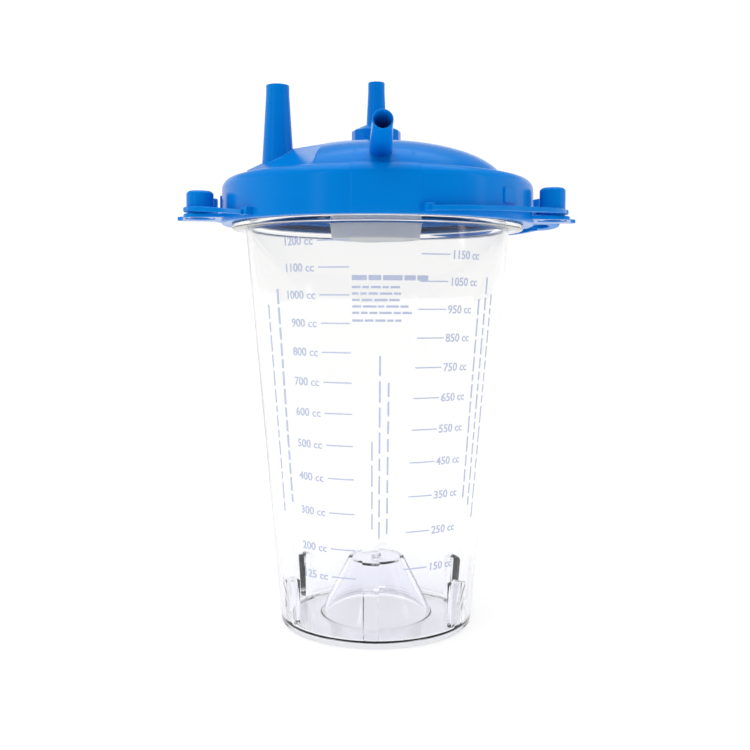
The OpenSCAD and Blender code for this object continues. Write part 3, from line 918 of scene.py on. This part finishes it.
def build_plug(name, node, body, place, base, length, tilt):
    """A plug on its disc, with the moulding hole below; tilt leans it about X."""
    outline = rounded([
        (3.6, 0, 0.5), (8.7, 0, 0.75), (8.7, 1.6, 0.75), (4.4, 1.6, 0.6), (4.4, length, 0.7),
        (0, length, 0), (0, length - 1.2, 0), (3.3, length - 1.2, 0.8)], steps=4)
    plug = lathe(name, outline, 72)
    move = Matrix.Translation(Vector((place[0], place[1], base)) * MM) @ Matrix.Rotation(
        math.radians(tilt), 4, "X")
    plug.data.transform(move)
    return finish_piece(plug, body, "lid_plastic", LID_LOOK, node)


def strap_path(root, place, reach, end_height, sag, steps=56):
    """Centre line of a strap: it follows the skirt, then swings out to its closure."""
    azimuth = math.degrees(math.atan2(place[0], -place[1]))
    to_radius = math.hypot(*place) + reach[1]
    to_azimuth = azimuth + reach[0]
    points = []
    for i in range(steps + 1):
        t = i / steps
        out = max(0.0, (t - 0.55) / 0.45)
        radius = STRAP_RADIUS + (to_radius - STRAP_RADIUS) * out * out * (3 - 2 * out)
        height = STRAP_ROOT_HEIGHT + (end_height - STRAP_ROOT_HEIGHT) * t - 4 * sag * t * (1 - t)
        points.append(polar(radius, root + (to_azimuth - root) * t, height))
    return points


def build_strap(name, node, path, width=3.2, thickness=2.0):
    """A moulded strap with rounded edges, swept along its path."""
    section = rounded([(-width / 2, -thickness / 2, 0.55), (width / 2, -thickness / 2, 0.55),
                       (width / 2, thickness / 2, 0.55), (-width / 2, thickness / 2, 0.55)], steps=4)
    rings = []
    for i, p in enumerate(path):
        along = path[min(i + 1, len(path) - 1)] - path[max(i - 1, 0)]
        side = Vector((along.y, -along.x, 0)).normalized()
        rings.append([p + side * a + UP * b for a, b in section])
    strap = skin(name, rings, caps=True, sharp=60)
    strap.data.materials.append(LID_LOOK)
    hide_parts(node)
    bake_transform(strap)
    return strap


def build_closures():
    right_cap, left_cap = (74.4, -16.4), (-75.8, -16.4)
    right_plug, left_plug = (77.6, 22.0), (-77.6, 22.0)
    roots = {"right_cap_strap": 14, "left_cap_strap": -50, "right_plug_strap": 165, "left_plug_strap": -165}
    build_cap("right_cap_shell", "right_cap", "right_cap", right_cap, 5.5, 1.0)
    build_cap("left_cap_shell", "left_cap", "left_cap", left_cap, 5.7, 1.0)
    build_plug("right_plug_body", "right_plug", "right_plug", right_plug, 179.0, 12.4, -9.5)
    build_plug("left_plug_body", "left_plug", "left_plug", left_plug, 181.0, 9.8, 0)
    build_strap("right_cap_tether", "right_cap_strap",
                strap_path(14, right_cap, (-3, 4.5), 182.2, 0))
    build_strap("left_cap_tether", "left_cap_strap",
                strap_path(-50, left_cap, (3, 4.7), 182.2, 0))
    build_strap("right_plug_tether", "right_plug_strap",
                strap_path(165, right_plug, (3, -1), 178.4, 2.4))
    build_strap("left_plug_tether", "left_plug_strap",
                strap_path(-165, left_plug, (-3, -1), 181.8, 0))
    build_lid_trim(roots)
    build_ear("right_grip_ear", "right_ear", right_cap, 1)
    build_ear("left_grip_ear", "left_ear", (-left_cap[0], left_cap[1]), -1)


# ---------------------------------------------------------------- stage
FLOOR_GLOW = 0.74
ROOM_LEVEL, WALL_LEVEL, CEILING_SHARE, BANK_LEVEL = 0.35, 1.04, 0.35, 1.7


def build_floor():
    """A large flat pale floor under and behind the canister."""
    look, nodes, links = new_look("pale_floor")
    shader = nodes["Principled BSDF"]
    grain = noise_node(nodes, links, 6, 2)
    links.new(ramp_node(nodes, links, grain.outputs["Fac"], (0.32, 0.32, 0.32, 1),
                        (0.34, 0.34, 0.34, 1)).outputs["Color"], shader.inputs["Base Color"])
    shader.inputs["Roughness"].default_value = 0.9
    shader.inputs["Specular IOR Level"].default_value = 0.05
    shader.inputs["Emission Color"].default_value = (1, 1, 1, 1)
    shader.inputs["Emission Strength"].default_value = FLOOR_GLOW
    half = 60000
    floor = mesh_object("floor", [(-half, -half, 0), (half, -half, 0), (half, half, 0), (-half, half, 0)],
                        [(0, 1, 2, 3)])
    floor.data.materials.append(look)


def area_light(name, place, target, size, power, colour=(1, 1, 1)):
    light = bpy.data.lights.new(name, "AREA")
    light.shape = "RECTANGLE"
    light.size, light.size_y = size
    light.energy = power
    light.color = colour
    lamp = bpy.data.objects.new(name, light)
    lamp.location = place
    lamp.rotation_euler = (Vector(target) - Vector(place)).to_track_quat("-Z", "Y").to_euler()
    bpy.context.scene.collection.objects.link(lamp)


def eased(nodes, links, source, low, high, start, end):
    """start where source is low, end where it is high, eased between."""
    spread = nodes.new("ShaderNodeMapRange")
    spread.interpolation_type = "SMOOTHSTEP"
    for socket, value in (("From Min", low), ("From Max", high), ("To Min", start), ("To Max", end)):
        spread.inputs[socket].default_value = value
    links.new(source, spread.inputs["Value"])
    return spread.outputs["Result"]


def math_node(nodes, links, operation, a, b):
    node = nodes.new("ShaderNodeMath")
    node.operation = operation
    links.new(a, node.inputs[0])
    links.new(b, node.inputs[1])
    return node.outputs[0]


def build_light():
    """A white cyclorama low down all round, a dim ceiling, and a large overhead bank."""
    world = bpy.data.worlds.new("studio")
    world.use_nodes = True
    bpy.context.scene.world = world
    nodes, links = world.node_tree.nodes, world.node_tree.links
    back = nodes["Background"]
    place = nodes.new("ShaderNodeTexCoord")
    split = nodes.new("ShaderNodeSeparateXYZ")
    links.new(place.outputs["Generated"], split.inputs["Vector"])
    x, y, z = (split.outputs[axis] for axis in "XYZ")
    wall = eased(nodes, links, y, -0.75, 0.1, ROOM_LEVEL, WALL_LEVEL)
    ceiling = eased(nodes, links, z, 0.31, 0.46, 1.0, CEILING_SHARE)
    level = math_node(nodes, links, "MULTIPLY", wall, ceiling)
    bank = eased(nodes, links, z, 0.74, 0.86, 0.0, BANK_LEVEL)
    level = math_node(nodes, links, "ADD", level, bank)
    # a tall panel a little left of the middle, behind
    left = eased(nodes, links, x, -0.165, -0.145, 0.0, 1.0)
    right = eased(nodes, links, x, -0.02, 0.10, 1.0, 0.0)
    high = eased(nodes, links, z, 0.42, 0.56, 1.0, 0.0)
    behind = eased(nodes, links, y, 0.4, 0.6, 0.0, 1.0)
    panel = math_node(nodes, links, "MULTIPLY", math_node(nodes, links, "MULTIPLY", left, right),
                      math_node(nodes, links, "MULTIPLY", high, behind))
    level = math_node(nodes, links, "MAXIMUM", level, panel)
    links.new(level, back.inputs["Strength"])
    back.inputs["Color"].default_value = (1, 1, 1, 1)
    sun = bpy.data.lights.new("high_front", "SUN")
    sun.energy = 0.7
    sun.angle = math.radians(50)
    lamp = bpy.data.objects.new("high_front", sun)
    lamp.rotation_euler = Vector((0.25, 0.3, -1)).to_track_quat("-Z", "Y").to_euler()
    bpy.context.scene.collection.objects.link(lamp)
    area_light("left_box", (-0.74, -0.80, 0.35), (0, 0, 0.17), (0.12, 0.9), 1.3)
    area_light("right_box", (1.0, -0.30, 0.35), (0, 0, 0.17), (0.12, 0.9), 0.9)


def build_camera():
    camera = bpy.data.cameras.new("camera")
    camera.sensor_width = 36
    camera.lens = 45.497
    view = bpy.data.objects.new("camera", camera)
    turn = math.radians(2.0)
    view.matrix_world = (
        Matrix.Translation(Vector((-15.68, -424.54, 146.02)) * MM)
        @ Matrix.Rotation(-turn, 4, "Z")
        @ Matrix.Rotation(math.radians(90 - 4.734), 4, "X")
        @ Matrix.Rotation(math.radians(0.2196), 4, "Z"))
    bpy.context.scene.collection.objects.link(view)
    bpy.context.scene.camera = view


bpy.context.scene.view_settings.view_transform = "Standard"
build_camera()
build_floor()
build_light()
build_cup()
build_printing()
build_lid()
build_ports()
build_float_valve()
build_closures()
